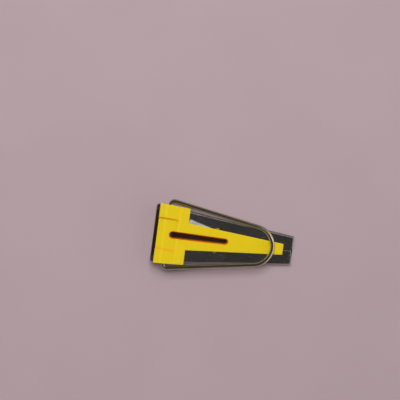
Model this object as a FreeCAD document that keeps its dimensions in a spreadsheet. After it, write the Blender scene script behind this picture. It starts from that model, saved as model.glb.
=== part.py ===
# Hand bias tape folder for 12 mm tape.
# A strip of cloth enters the wide mouth of a folded sheet-metal horn, is held flat by a moulded guide
# and leaves the narrow tip with both edges folded to the middle. A wire handle swings over the top.
#
# The row frame is in millimetres, +Z up. The origin is on the resting face, midway between mouth and tip.
# +X runs from the mouth to the tip. Inside each body, x counts from the mouth's edge instead.
import FreeCAD, Part
import math
import os

import Sketcher

Vector = FreeCAD.Vector

# Name, number and meaning of every size that can be set by itself.
SIZES = (
    ("horn_length", 64.0, "mouth edge to tip edge"),
    ("mouth_width", 27.4, "outside, at the mouth edge"),
    ("tip_width", 13.2, "outside, at the tip edge"),
    ("knee_distance", 35.0, "mouth edge to the line where the top becomes flatter"),
    ("mouth_height", 6.8, "outside, at the mouth edge"),
    ("knee_height", 3.1, "outside, at the knee"),
    ("tip_height", 2.1, "outside, at the tip edge"),
    ("sheet_thickness", 0.5, "nickel-plated steel sheet"),
    ("fold_radius", 1.0, "outside radius between wall and flap"),
    ("mouth_wall", 0.8, "straight part of the wall at the mouth; the rest is the corner to the floor"),
    ("knee_wall", 0.4, "the same at the knee"),
    ("tip_wall", 0.1, "the same at the tip"),
    ("flap_width", 6.45, "each flap, across the mouth"),
    ("seam_gap", 0.35, "between the flaps where they run parallel"),
    ("seam_length", 5.5, "parallel part of the seam, up to the tip edge"),
    ("flap_setback", 0.4, "floor standing proud of the flaps at the tip"),
    ("seam_notch", 0.5, "further cut at the flaps' inner corners"),
    ("seam_notch_width", 0.9, "reach of that cut across the left flap"),
    ("lip_length", 1.8, "run of the raked front edge of the walls"),
    ("lip_height", 2.4, "height of the walls at the mouth edge"),
    ("pivot_distance", 6.25, "mouth edge to the handle's axis"),
    ("pivot_height", 4.5, "handle's axis above the resting face"),
    ("pivot_clearance", 0.06, "radial, wire in its holes"),
    ("cover_inset", 1.8, "mouth edge to the guide's front edge"),
    ("cover_length", 13.7, "broad part of the guide"),
    ("front_overhang", 0.1, "broad part past the horn's side, front corner"),
    ("rear_overhang", 0.8, "broad part past the horn's side, rear corner"),
    ("cover_thickness", 1.0, "tongue and rear edge of the broad part"),
    ("front_thickness", 0.9, "front edge of the broad part"),
    ("shoulder_thickness", 1.5, "top of the shoulders over the flaps"),
    ("front_bevel", 2.8, "run of the slope behind the front edge"),
    ("rear_bevel", 3.2, "run of the slope before the rear edge"),
    ("recess_depth", 0.6, "sunk middle of the broad part"),
    ("recess_end", 11.2, "mouth edge to the end of the sunk middle"),
    ("recess_slope", 1.4, "run of the sunk middle's closing slope"),
    ("recess_margin", 0.3, "sunk middle inside the gap between the flaps"),
    ("rim_radius", 0.2, "rounding of the guide's upper rims"),
    ("tongue_end", 59.4, "mouth edge to the tongue's end"),
    ("tongue_overlap", 0.75, "tongue over each flap where it starts"),
    ("tongue_end_overlap", 2.3, "tongue over each flap at its end"),
    ("seat_gap", 0.05, "guide above the flaps"),
    ("web_clearance", 0.15, "guide inside and under the flaps"),
    ("web_end", 50.0, "mouth edge to the end of the rib under the tongue"),
    ("strip_room", 1.2, "between the horn's floor and the guide, for the cloth"),
    ("wing_room", 1.3, "between the horn's wall and the guide's wing, front"),
    ("wing_rear_room", 2.6, "the same at the wing's rear end"),
    ("wing_edge", 0.5, "radius along the wings' upper edges"),
    ("slot_start", 7.3, "mouth edge to the slot's front end"),
    ("slot_end", 34.2, "mouth edge to the slot's rear end"),
    ("slot_front_width", 3.2, "needle slot at its front end"),
    ("slot_rear_width", 2.6, "needle slot at its rear end"),
    ("lug_distance", 28.7, "mouth edge to the middle of the lugs"),
    ("lug_length", 1.5, "each lug along the horn"),
    ("lug_reach", 0.55, "lug past the tongue's edge"),
    ("lug_depth", 0.7, "lug below the flap"),
    ("wire_diameter", 2.0, "handle"),
    ("leg_clearance", 1.58, "between the horn's side and a leg, across the handle's axis"),
    ("handle_reach", 48.2, "handle's axis to the loop's far point, on the wire's middle"),
    ("loop_radius", 8.8, "round end of the handle, on the wire's middle"),
    ("bend_radius", 1.8, "bend between a leg and its pin, on the wire's middle"),
    ("pin_depth", 2.9, "pin past the horn's outer side"),
    ("pin_end_room", 0.3, "beyond the pin's end in the guide"),
    ("rest_gap", 0.1, "between the loop and the tongue at rest"),
)

SHEET = "Sizes"
MOUTH_STEPS = 16  # sections from mouth to knee; between two, the corner's radius hardly changes
TIP_STEPS = 4  # the same from knee to tip
WING_STEPS = 6  # the same along the guide's wings
REACH_PAST = 1.0  # how far a cutting outline runs past the metal it cuts
FUSE_DEPTH = 0.3  # how far one feature of a moulding runs into the next
UPWARD = 0.5  # least upward share of a normal that counts as facing up
UPRIGHT = 0.05  # greatest upward share of a normal that counts as facing sideways
NEAR = 0.01  # lengths closer than this count as equal


class Size:
    """A length, kept both as a number and as the text of the expression that gives it."""

    def __init__(self, value, text=None):
        self.value = float(value)
        self.text = text if text else repr(float(value))

    def _join(self, other, sign, value):
        return Size(value, f"({self.text} {sign} {other.text})")

    def __add__(self, other):
        other = as_size(other)
        return self._join(other, "+", self.value + other.value)

    def __sub__(self, other):
        other = as_size(other)
        return self._join(other, "-", self.value - other.value)

    def __mul__(self, other):
        other = as_size(other)
        return self._join(other, "*", self.value * other.value)

    def __truediv__(self, other):
        other = as_size(other)
        return self._join(other, "/", self.value / other.value)

    def __neg__(self):
        return Size(0) - self


def as_size(number):
    """The number as a Size, if it isn't one yet."""
    return number if isinstance(number, Size) else Size(number)


def write_sheet(doc):
    """Puts every size in a cell with an alias, and returns the sizes by name."""
    sheet = doc.addObject("Spreadsheet::Sheet", SHEET)
    sizes = {}
    for row, (name, number, meaning) in enumerate(SIZES, start=1):
        sheet.set(f"A{row}", meaning)
        sheet.set(f"B{row}", str(number))
        sheet.setAlias(f"B{row}", name)
        sizes[name] = Size(number, f"{SHEET}.{name}")
    doc.recompute()
    return sizes


def between(x, start, end, first, last):
    """The straight-line value at x, from first at start to last at end."""
    return first + (last - first) * (x - start) / (end - start)


class Horn:
    """The outline of the folded horn at a distance x from its mouth, shared by everything that fits it."""

    def __init__(self, sizes):
        self.s = sizes

    def stations(self):
        """Distances of the sections that the horn is lofted through."""
        knee, rest = self.s["knee_distance"], self.s["horn_length"] - self.s["knee_distance"]
        towards_knee = [knee * step / MOUTH_STEPS for step in range(MOUTH_STEPS + 1)]
        return towards_knee + [knee + rest * step / TIP_STEPS for step in range(1, TIP_STEPS + 1)]

    def _by_knee(self, x, mouth, knee, tip):
        middle = self.s["knee_distance"]
        if x.value <= middle.value:
            return between(x, Size(0), middle, mouth, knee)
        return between(x, middle, self.s["horn_length"], knee, tip)

    def half_width(self, x):
        s = self.s
        return between(x, Size(0), s["horn_length"], s["mouth_width"], s["tip_width"]) / 2

    def top(self, x):
        return self._by_knee(x, self.s["mouth_height"], self.s["knee_height"], self.s["tip_height"])

    def corner(self, x):
        """Outside radius between floor and wall."""
        wall = self._by_knee(x, self.s["mouth_wall"], self.s["knee_wall"], self.s["tip_wall"])
        return self.top(x) - self.s["fold_radius"] - wall

    def seam_start(self):
        return self.s["horn_length"] - self.s["seam_length"]

    def flap_edge(self, x):
        """Half the gap between the flaps."""
        start = self.s["mouth_width"] / 2 - self.s["flap_width"]
        end = self.s["seam_gap"] / 2
        return between(x, Size(0), self.seam_start(), start, end)

    def seat(self, x):
        """Height of the guide's underside where it lies over the flaps."""
        return self.top(x) + self.s["seat_gap"]


def new_body(doc, name, blank):
    """A body whose x counts from the mouth's edge, and whose first feature is the given solid."""
    body = doc.addObject("PartDesign::Body", name)
    body.Label = name
    body.BaseFeature = blank
    body.setExpression("Placement.Base.x", f"-{SHEET}.horn_length / 2")
    return body


def cross_section(doc, name, x):
    """A sketch across the horn at distance x, with its own x to the side and its y up."""
    sketch = doc.addObject("Sketcher::SketchObject", name)
    across, up, along = Vector(0, 1, 0), Vector(0, 0, 1), Vector(1, 0, 0)
    sketch.Placement = FreeCAD.Placement(along * x.value, FreeCAD.Rotation(across, up, along, "ZXY"))
    sketch.setExpression("Placement.Base.x", x.text)
    return sketch


def new_sketch(body, name, plane, offset=None):
    """A sketch on one of the body's own planes, moved along that plane's normal by offset."""
    sketch = body.newObject("Sketcher::SketchObject", name)
    support = next(f for f in body.Origin.OriginFeatures if f.Role == plane)
    sketch.AttachmentSupport = [(support, "")]
    sketch.MapMode = "FlatFace"
    if offset is not None:
        sketch.AttachmentOffset = FreeCAD.Placement(Vector(0, 0, offset.value), FreeCAD.Rotation())
        sketch.setExpression("AttachmentOffset.Base.z", offset.text)
    return sketch


def bind(sketch, kind, *target):
    """Adds a dimension whose last argument is a Size, and ties it to the sheet."""
    *where, length = target
    length = as_size(length)
    index = sketch.addConstraint(Sketcher.Constraint(kind, *where, length.value))
    if SHEET in length.text:
        sketch.setExpression(f"Constraints[{index}]", length.text)


def place_point(sketch, element, end, point):
    """Fixes one end of an element by its two coordinates."""
    bind(sketch, "DistanceX", element, end, point[0])
    bind(sketch, "DistanceY", element, end, point[1])


def outline(sketch, points):
    """A closed outline of straight lines through the points."""
    points = [(as_size(x), as_size(y)) for x, y in points]
    first = sketch.GeometryCount
    corners = [Vector(x.value, y.value, 0) for x, y in points]
    for start, end in zip(corners, corners[1:] + corners[:1]):
        sketch.addGeometry(Part.LineSegment(start, end), False)
    for i, point in enumerate(points):
        following = first + (i + 1) % len(points)
        sketch.addConstraint(Sketcher.Constraint("Coincident", first + i, 2, following, 1))
        place_point(sketch, first + i, 1, point)


def rounded_section(sketch, half_width, low, high, low_radius, high_radius):
    """A closed outline: a box, symmetric about the middle, with two lower and two upper corner radii."""
    left, right = -half_width, half_width
    corners = (
        (left, low, low_radius, 1, 1),
        (right, low, low_radius, -1, 1),
        (right, high, high_radius, -1, -1),
        (left, high, high_radius, 1, -1),
    )
    first = sketch.GeometryCount
    sides = []
    for x, y, radius, inward_x, inward_y in corners:
        on_side = (x, y + radius * inward_y)
        on_level = (x + radius * inward_x, y)
        sides.append((on_side, on_level) if inward_x == inward_y else (on_level, on_side))
    for i, (x, y, radius, inward_x, inward_y) in enumerate(corners):
        start, end = sides[i]
        following = sides[(i + 1) % len(sides)][0]
        centre = Vector((x + radius * inward_x).value, (y + radius * inward_y).value, 0)
        quarter = Part.Circle(centre, Vector(0, 0, 1), radius.value)
        turn = math.pi + i * math.pi / 2
        sketch.addGeometry(Part.ArcOfCircle(quarter, turn, turn + math.pi / 2), False)
        line = [Vector(p[0].value, p[1].value, 0) for p in (end, following)]
        sketch.addGeometry(Part.LineSegment(*line), False)
    for i, (x, y, radius, inward_x, inward_y) in enumerate(corners):
        arc, line = first + 2 * i, first + 2 * i + 1
        next_arc = first + 2 * ((i + 1) % len(corners))
        place_point(sketch, arc, 1, sides[i][0])
        place_point(sketch, arc, 2, sides[i][1])
        bind(sketch, "Radius", arc, radius)
        sketch.addConstraint(Sketcher.Constraint("Coincident", arc, 2, line, 1))
        sketch.addConstraint(Sketcher.Constraint("Coincident", line, 2, next_arc, 1))


def circle(sketch, x, y, radius):
    """A full circle fixed by its centre and radius."""
    element = sketch.GeometryCount
    centre = Vector(as_size(x).value, as_size(y).value, 0)
    sketch.addGeometry(Part.Circle(centre, Vector(0, 0, 1), radius.value), False)
    bind(sketch, "Radius", element, radius)
    place_point(sketch, element, 3, (as_size(x), as_size(y)))


def loft(doc, name, sketches):
    """A solid through the sketches in order, straight from each to the next, with true planes."""
    solid = doc.addObject("Part::Loft", name)
    solid.Sections = sketches
    solid.Solid = True
    solid.Ruled = True
    solid.Linearize = True
    return solid


def cut(body, name, sketch, side="One side", reverse=False, length=None):
    """A pocket through everything, or as deep as length says."""
    feature = body.newObject("PartDesign::Pocket", name)
    feature.Profile = sketch
    feature.SideType = side
    feature.Reversed = reverse
    if length is None:
        feature.Type = "ThroughAll"
    else:
        feature.Length = length.value
        feature.setExpression("Length", length.text)
    return feature


def pad(body, name, sketch, length, side="One side"):
    """A sketch raised by length."""
    feature = body.newObject("PartDesign::Pad", name)
    feature.Profile = sketch
    feature.SideType = side
    feature.Length = length.value
    feature.setExpression("Length", length.text)
    return feature


def edges_where(shape, chosen):
    """Names of the edges where chosen(middle point, normals, faces) is true of the two faces that meet."""
    names = []
    for number, edge in enumerate(shape.Edges, start=1):
        faces = shape.ancestorsOfType(edge, Part.Face)
        middle = edge.valueAt((edge.FirstParameter + edge.LastParameter) / 2)
        normals = [face.normalAt(*face.Surface.parameter(middle)) for face in faces]
        if len(faces) == 2 and chosen(middle, normals, faces):
            names.append(f"Edge{number}")
    return names


def round_edges(doc, body, name, radius, chosen):
    """Rounds the chosen edges of the body as it is so far."""
    doc.recompute()
    base = body.Tip
    feature = body.newObject("PartDesign::Fillet", name)
    feature.Base = (base, edges_where(base.Shape, chosen))
    feature.Radius = radius.value
    feature.setExpression("Radius", radius.text)
    return feature


def make_horn(doc, s, horn):
    """The folded metal: a floor, two walls and two flaps, open at both ends and along the top."""
    tube = doc.addObject("Part::Cut", "closed_tube")
    tube.Base = make_skin(doc, "outside", horn, Size(0))
    tube.Tool = make_skin(doc, "inside", horn, s["sheet_thickness"])
    tube.Refine = True
    body = new_body(doc, "folding_horn", tube)
    cut_flap_edges(body, s, horn)
    cut_lug_notches(body, s, horn)
    cut_mouth_rake(body, s)
    sketch = new_sketch(body, "pivot_circle", "XZ_Plane")
    radius = s["wire_diameter"] / 2 + s["pivot_clearance"]
    circle(sketch, s["pivot_distance"], s["pivot_height"], radius)
    cut(body, "pivot_holes", sketch, side="Symmetric")
    return body


def make_skin(doc, name, horn, inset):
    """The horn's outline as a solid, smaller all round by inset."""
    sections = []
    for number, x in enumerate(horn.stations()):
        sketch = cross_section(doc, f"{name}_section_{number}", x)
        rounded_section(
            sketch,
            horn.half_width(x) - inset,
            inset,
            horn.top(x) - inset,
            horn.corner(x) - inset,
            horn.s["fold_radius"] - inset,
        )
        sections.append(sketch)
    return loft(doc, name, sections)


def cut_flap_edges(body, s, horn):
    """Parts the flaps along the middle and trims their ends at the tip."""
    length, seam = s["horn_length"], s["seam_gap"] / 2
    side = s["mouth_width"] / 2 + REACH_PAST
    end = length - s["flap_setback"]
    inner_end = end - s["seam_notch"]
    points = [
        (0, horn.flap_edge(Size(0))),
        (0, -horn.flap_edge(Size(0))),
        (horn.seam_start(), -seam),
        (inner_end, -seam),
        (end, -side),
        (length + REACH_PAST, -side),
        (length + REACH_PAST, side),
        (end, side),
        (end, seam + s["seam_notch_width"]),
        (inner_end, seam),
        (horn.seam_start(), seam),
    ]
    sketch = new_sketch(body, "flap_edges", "XY_Plane", s["tip_height"] / 2)
    outline(sketch, points)
    cut(body, "flap_gap", sketch, reverse=True)


def lug_sides(s, horn):
    """Inner and outer distance of a lug from the middle."""
    outer = tongue_half_width(s, horn, s["lug_distance"]) + s["lug_reach"]
    inner = horn.flap_edge(s["lug_distance"]) - s["web_clearance"] * 2
    return inner, outer


def cut_lug_notches(body, s, horn):
    """A notch in each flap's edge, for the guide's lugs."""
    inner, outer = lug_sides(s, horn)
    reach = s["lug_length"] / 2 + s["web_clearance"]
    low_x, high_x = s["lug_distance"] - reach, s["lug_distance"] + reach
    sketch = new_sketch(body, "notch_outlines", "XY_Plane", s["tip_height"] / 2)
    for side in (1, -1):
        near, far = inner * side, (outer + s["web_clearance"]) * side
        outline(sketch, [(low_x, near), (high_x, near), (high_x, far), (low_x, far)])
    cut(body, "lug_notches", sketch, reverse=True)


def cut_mouth_rake(body, s):
    """Slopes the walls' front edges back from the lip of the floor."""
    over = s["mouth_height"] + REACH_PAST
    points = [
        (-REACH_PAST, s["lip_height"]),
        (0, s["lip_height"]),
        (s["lip_length"], s["mouth_height"]),
        (s["lip_length"], over),
        (-REACH_PAST, over),
    ]
    sketch = new_sketch(body, "mouth_rake", "XZ_Plane")
    outline(sketch, points)
    cut(body, "raked_walls", sketch, side="Symmetric")


def tongue_half_width(s, horn, x):
    """Half the tongue's width, which tapers from the broad part to its end."""
    root = s["cover_inset"] + s["cover_length"]
    first = horn.flap_edge(root) + s["tongue_overlap"]
    last = s["seam_gap"] / 2 + s["tongue_end_overlap"]
    return between(x, root, s["tongue_end"], first, last)


def make_guide(doc, s, horn):
    """The moulded guide: a broad cover with a tongue over the flaps, and a former under them."""
    core = doc.addObject("Part::Fuse", "former")
    core.Base = make_wings(doc, s, horn)
    core.Tool = make_rib(doc, s, horn)
    core.Refine = True
    body = new_body(doc, "strip_guide", core)
    add_cover(body, s, horn)
    add_lugs(body, s, horn)
    cut_slot(body, s)
    cut_pin_seats(body, s, horn)
    round_guide(doc, body, s, horn)
    return body


def add_cover(body, s, horn):
    """The cover and tongue: a side view drawn across the full width, then trimmed to its plan."""
    front = s["cover_inset"]
    rear = front + s["cover_length"]
    knee, end = s["knee_distance"], s["tongue_end"]
    crest_front, crest_rear = front + s["front_bevel"], rear - s["rear_bevel"]
    upper = [
        (end, s["cover_thickness"]),
        (knee, s["cover_thickness"]),
        (rear, s["cover_thickness"]),
        (crest_rear, s["shoulder_thickness"]),
        (crest_front, s["shoulder_thickness"]),
        (front, s["front_thickness"]),
    ]
    points = [(x, horn.seat(x)) for x in (front, knee, end)]
    points += [(x, horn.seat(x) + thickness) for x, thickness in upper]
    sketch = new_sketch(body, "cover_side_view", "XZ_Plane")
    outline(sketch, points)
    pad(body, "cover", sketch, s["mouth_width"] + 2 * REACH_PAST, side="Symmetric")

    side = s["mouth_width"] / 2 + 2 * REACH_PAST
    before, beyond = -REACH_PAST, end + REACH_PAST
    plan = [
        (front, horn.half_width(front) + s["front_overhang"]),
        (rear, horn.half_width(rear) + s["rear_overhang"]),
        (rear, tongue_half_width(s, horn, rear)),
        (end, tongue_half_width(s, horn, end)),
    ]
    sketch = new_sketch(body, "cover_plan", "XY_Plane")
    outline(sketch, [(before, -side), (beyond, -side), (beyond, side), (before, side)])
    outline(sketch, plan + [(x, -y) for x, y in reversed(plan)])
    cut(body, "trimmed_cover", sketch, side="Symmetric")

    floor = s["shoulder_thickness"] - s["recess_depth"]
    slope_start = s["recess_end"] - s["recess_slope"]
    over = s["mouth_height"] + s["shoulder_thickness"] + REACH_PAST
    points = [
        (front - REACH_PAST, horn.seat(front) + s["front_thickness"] - s["recess_depth"]),
        (front, horn.seat(front) + s["front_thickness"] - s["recess_depth"]),
        (crest_front, horn.seat(crest_front) + floor),
        (slope_start, horn.seat(slope_start) + floor),
        (s["recess_end"], horn.seat(s["recess_end"]) + s["shoulder_thickness"]),
        (s["recess_end"], over),
        (front - REACH_PAST, over),
    ]
    sketch = new_sketch(body, "recess_side_view", "XZ_Plane")
    outline(sketch, points)
    width = (horn.flap_edge(front) - s["recess_margin"]) * 2
    cut(body, "recess", sketch, side="Symmetric", length=width)


def make_rib(doc, s, horn):
    """The rib that drops between the flaps and holds the cloth down along the middle."""
    low = s["sheet_thickness"] + s["strip_room"]
    sections = []
    for number, x in enumerate((s["cover_inset"], s["knee_distance"], s["web_end"])):
        half = horn.flap_edge(x) - s["web_clearance"]
        high = horn.seat(x) + FUSE_DEPTH
        sketch = cross_section(doc, f"rib_section_{number}", x)
        outline(sketch, [(-half, low), (half, low), (half, high), (-half, high)])
        sections.append(sketch)
    return loft(doc, "rib", sections)


def make_wings(doc, s, horn):
    """The former under the flaps, whose lower corners follow the horn's."""
    sheet = s["sheet_thickness"]
    front = s["cover_inset"]
    rear = front + s["cover_length"]
    sections = []
    for number in range(WING_STEPS + 1):
        x = front + (rear - front) * number / WING_STEPS
        room = between(x, front, rear, s["wing_room"], s["wing_rear_room"])
        sketch = cross_section(doc, f"wing_section_{number}", x)
        rounded_section(
            sketch,
            horn.half_width(x) - sheet - room,
            sheet + s["strip_room"],
            horn.top(x) - sheet - s["web_clearance"],
            horn.corner(x) - sheet - s["strip_room"],
            s["wing_edge"],
        )
        sections.append(sketch)
    return loft(doc, "wings", sections)


def add_lugs(body, s, horn):
    """Two lugs that drop through the flaps' notches and keep the guide from sliding out."""
    x = s["lug_distance"]
    inner, outer = lug_sides(s, horn)
    low_x, high_x = x - s["lug_length"] / 2, x + s["lug_length"] / 2
    low = horn.top(high_x) - s["sheet_thickness"] - s["lug_depth"]
    sketch = new_sketch(body, "lug_outlines", "XY_Plane", low)
    for side in (1, -1):
        near, far = (inner - FUSE_DEPTH) * side, outer * side
        outline(sketch, [(low_x, near), (high_x, near), (high_x, far), (low_x, far)])
    pad(body, "lugs", sketch, horn.seat(low_x) - low)


def cut_slot(body, s):
    """The long slot through which a needle pushes the cloth along, wider at the front."""
    front_radius, rear_radius = s["slot_front_width"] / 2, s["slot_rear_width"] / 2
    front_x, rear_x = s["slot_start"] + front_radius, s["slot_end"] - rear_radius
    lean = math.asin((front_radius - rear_radius).value / (rear_x - front_x).value)
    sketch = new_sketch(body, "slot_outline", "XY_Plane")
    upright = Vector(0, 0, 1)
    ends = []
    for x, radius, start, end in (
        (front_x, front_radius, math.pi / 2 - lean, math.pi * 3 / 2 + lean),
        (rear_x, rear_radius, lean - math.pi / 2, math.pi / 2 - lean),
    ):
        full = Part.Circle(Vector(x.value, 0, 0), upright, radius.value)
        ends.append(Part.ArcOfCircle(full, start, end))
        sketch.addGeometry(ends[-1], False)
    sketch.addGeometry(Part.LineSegment(ends[0].EndPoint, ends[1].StartPoint), False)
    sketch.addGeometry(Part.LineSegment(ends[1].EndPoint, ends[0].StartPoint), False)
    for arc, x, radius in ((0, front_x, front_radius), (1, rear_x, rear_radius)):
        bind(sketch, "Radius", arc, radius)
        place_point(sketch, arc, 3, (x, Size(0)))
    for first, first_end, second, second_end in ((0, 2, 2, 1), (2, 2, 1, 1), (1, 2, 3, 1), (3, 2, 0, 1)):
        sketch.addConstraint(Sketcher.Constraint("Tangent", first, first_end, second, second_end))
    cut(body, "needle_slot", sketch, side="Symmetric")


def cut_pin_seats(body, s, horn):
    """A blind seat in each wing for the end of the handle's pin."""
    radius = s["wire_diameter"] / 2 + s["pivot_clearance"]
    floor = pin_end(s, horn) - s["pin_end_room"]
    for name, side in (("left", -1), ("right", 1)):
        sketch = new_sketch(body, f"{name}_pin_circle", "XZ_Plane", floor * side)
        circle(sketch, s["pivot_distance"], s["pivot_height"], radius)
        cut(body, f"{name}_pin_seat", sketch, reverse=side > 0)


def round_guide(doc, body, s, horn):
    """Rounds the upper rims of the cover, its sunk middle and the slot."""
    rear = (s["cover_inset"] + s["cover_length"]).value
    tongue_end = s["tongue_end"].value
    half_slot = s["slot_front_width"].value / 2

    def on_rim(middle, normals, faces):
        walls = [face for face, normal in zip(faces, normals) if abs(normal.z) < UPRIGHT]
        tops = [normal for normal in normals if normal.z > UPWARD]
        half_way = horn.seat(Size(middle.x)) + s["cover_thickness"] / 2
        is_convex = len(walls) == len(tops) == 1 and walls[0].CenterOfMass.z < middle.z
        on_cover = middle.x < rear + NEAR
        on_slot = abs(middle.y) < half_slot and middle.x < tongue_end - NEAR
        return is_convex and (on_cover or on_slot) and middle.z > half_way.value

    round_edges(doc, body, "rounded_rims", s["rim_radius"], on_rim)


def pin_end(s, horn):
    """Distance of a pin's end from the middle."""
    return horn.half_width(s["pivot_distance"]) - s["pin_depth"]


def make_handle(doc, s, horn):
    """The sprung wire loop, bent from one length, with both ends turned in as pins."""
    body = doc.addObject("PartDesign::Body", "wire_handle")
    body.Label = "wire_handle"
    body.setExpression("Placement.Base.x", (s["pivot_distance"] - s["horn_length"] / 2).text)
    body.setExpression("Placement.Base.z", s["pivot_height"].text)

    wire_radius = s["wire_diameter"] / 2
    half_span = horn.half_width(s["pivot_distance"]) + s["leg_clearance"] + wire_radius
    pin = pin_end(s, horn)
    loop, bend = s["loop_radius"], s["bend_radius"]
    centre_x = s["handle_reach"] - loop

    far_x = s["pivot_distance"] + s["handle_reach"]
    rest_height = horn.seat(far_x) + s["cover_thickness"] + s["rest_gap"] + wire_radius
    rise = (rest_height - s["pivot_height"]) / s["handle_reach"]
    body.Placement.Rotation = FreeCAD.Rotation(Vector(0, -1, 0), math.degrees(math.asin(rise.value)))

    spine = new_sketch(body, "wire_path", "XY_Plane")
    draw_handle_path(spine, half_span, pin, loop, bend, centre_x)
    section = new_sketch(body, "wire_section", "XZ_Plane", pin)
    circle(section, 0, 0, wire_radius)
    doc.recompute()
    pipe = body.newObject("PartDesign::AdditivePipe", "bent_wire")
    pipe.Profile = section
    pipe.Spine = (spine, [f"Edge{i + 1}" for i in range(len(spine.Shape.Edges))])
    return body


def draw_handle_path(sketch, half_span, pin, loop, bend, centre_x):
    """Pin, bend, leg, round end, leg, bend, pin, each tangent to the next."""
    distance = math.hypot(centre_x.value, half_span.value)
    slope = math.atan2(half_span.value, centre_x.value) - math.asin(loop.value / distance)
    set_back = bend.value * math.tan((math.pi / 2 + slope) / 2)
    along = Vector(math.cos(slope), math.sin(slope), 0)
    outward = Vector(math.sin(slope), -math.cos(slope), 0)
    corner = Vector(0, -half_span.value, 0)
    pin_start = Vector(0, -pin.value, 0)
    bend_start = corner + Vector(0, set_back, 0)
    bend_centre = bend_start + Vector(bend.value, 0, 0)
    bend_end = corner + along * set_back
    loop_centre = Vector(centre_x.value, 0, 0)
    loop_start = loop_centre + outward * loop.value

    def mirror(point):
        return Vector(point.x, -point.y, 0)

    def arc(start, centre, radius, end):
        middle = centre + ((start - centre) + (end - centre)).normalize() * radius
        return Part.Arc(start, middle, end)

    far_point = Vector(centre_x.value + loop.value, 0, 0)
    sketch.addGeometry(
        [
            Part.LineSegment(pin_start, bend_start),
            arc(bend_start, bend_centre, bend.value, bend_end),
            Part.LineSegment(bend_end, loop_start),
            Part.Arc(loop_start, far_point, mirror(loop_start)),
            Part.LineSegment(mirror(loop_start), mirror(bend_end)),
            arc(mirror(bend_end), mirror(bend_centre), bend.value, mirror(bend_start)),
            Part.LineSegment(mirror(bend_start), mirror(pin_start)),
        ],
        False,
    )
    pieces = sketch.GeometryCount
    for element in range(pieces - 1):
        sketch.addConstraint(Sketcher.Constraint("Tangent", element, 2, element + 1, 1))
    place_point(sketch, 0, 1, (Size(0), -pin))
    place_point(sketch, pieces - 1, 2, (Size(0), pin))
    for element in (0, pieces - 1):
        sketch.addConstraint(Sketcher.Constraint("Vertical", element))
    for element, radius in ((1, bend), (3, loop), (5, bend)):
        bind(sketch, "Radius", element, radius)
    place_point(sketch, 3, 3, (centre_x, Size(0)))
    for leg, side in ((2, -1), (4, 1)):
        point = sketch.addGeometry(Part.Point(corner if side < 0 else mirror(corner)), True)
        place_point(sketch, point, 1, (Size(0), half_span * side))
        sketch.addConstraint(Sketcher.Constraint("PointOnObject", point, 1, leg))


def check(doc, bodies):
    """Stops the build if a feature failed or a body isn't one sound solid."""
    failed = [o.Name for o in doc.Objects if {"Invalid", "Error"} & set(o.State)]
    if failed:
        raise RuntimeError(f"these features failed: {failed}")
    for body in bodies:
        shape = body.Shape
        if shape.isNull() or not shape.isValid() or len(shape.Solids) != 1:
            raise RuntimeError(f"{body.Label} isn't one valid solid")
        box = shape.BoundBox
        extents = f"{box.XLength:.2f} x {box.YLength:.2f} x {box.ZLength:.2f}"
        print(f"{body.Label}: {shape.Volume:.1f} mm3, {extents}")


def main():
    doc = FreeCAD.newDocument("BiasTapeFolder")
    sizes = write_sheet(doc)
    horn = Horn(sizes)
    bodies = [make_horn(doc, sizes, horn), make_guide(doc, sizes, horn), make_handle(doc, sizes, horn)]
    doc.recompute()
    check(doc, bodies)
    os.makedirs("parts", exist_ok=True)
    for body in bodies:
        body.Shape.exportStep(os.path.join("parts", f"{body.Label}.step"))


main()
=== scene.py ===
import math

import bmesh
import bpy
from bpy.props import FloatProperty, FloatVectorProperty, PointerProperty
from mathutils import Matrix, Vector


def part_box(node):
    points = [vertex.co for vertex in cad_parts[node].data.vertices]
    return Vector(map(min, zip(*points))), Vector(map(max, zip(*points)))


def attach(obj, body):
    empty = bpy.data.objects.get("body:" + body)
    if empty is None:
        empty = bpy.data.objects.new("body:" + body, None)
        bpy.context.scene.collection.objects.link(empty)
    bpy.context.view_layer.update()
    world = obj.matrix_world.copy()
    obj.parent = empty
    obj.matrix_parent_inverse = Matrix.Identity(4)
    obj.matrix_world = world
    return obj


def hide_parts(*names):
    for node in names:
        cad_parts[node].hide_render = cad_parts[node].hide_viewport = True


bl_info = {
    "name": "Bias Tape Folder",
    "version": (1, 0, 0),
    "blender": (4, 5, 0),
    "location": "3D View > Sidebar > Tape Folder",
    "description": "Builds the finished look of a hand bias tape folder around its CAD frame",
    "category": "Add Mesh",
}

MM = 0.001
# Spots for the nodes of a tree.
GRID_ROWS, GRID_WIDTH, GRID_HEIGHT = 8, 200, 170

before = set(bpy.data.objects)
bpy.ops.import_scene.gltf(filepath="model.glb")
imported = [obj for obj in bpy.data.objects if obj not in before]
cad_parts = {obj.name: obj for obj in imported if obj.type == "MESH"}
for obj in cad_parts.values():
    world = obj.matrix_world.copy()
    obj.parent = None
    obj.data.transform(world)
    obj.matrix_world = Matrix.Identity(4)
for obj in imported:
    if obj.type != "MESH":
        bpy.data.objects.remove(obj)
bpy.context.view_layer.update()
HORN_LOW, HORN_HIGH = (Vector(corner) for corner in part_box("folding_horn"))

# The horn's sheet: segments across one half, for floor, lower corner, wall, fold and flap, and along it.
ACROSS_STEPS = (6, 14, 2, 12, 18)
ALONG_STEPS = 128
# Sizes that the rounding and the cutters use, but the horn's node tree doesn't.
CUT_SIZES = ("notch_width", "lug_distance", "lug_length", "lug_reach", "edge")
# The horn's top is already lower where the rake of its walls ends, so it uses this share of the rake's run.
RAKE_SHARE = 0.96
# The setback at the tip grows over the fold between wall and flap, this many times as fast as the fold.
SETBACK_RATE = 1.5
HOLE_CLEARANCE = 0.06 * MM
HOLE_SIDES = 48
# The inner skin's painted shade and its roughness fade out between these distances from the middle of the
# horn, in millimetres.
SHADE_AND_DULL_ENDS, SHADE_AND_DULL_FADES = 30.9, 30.3

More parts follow.
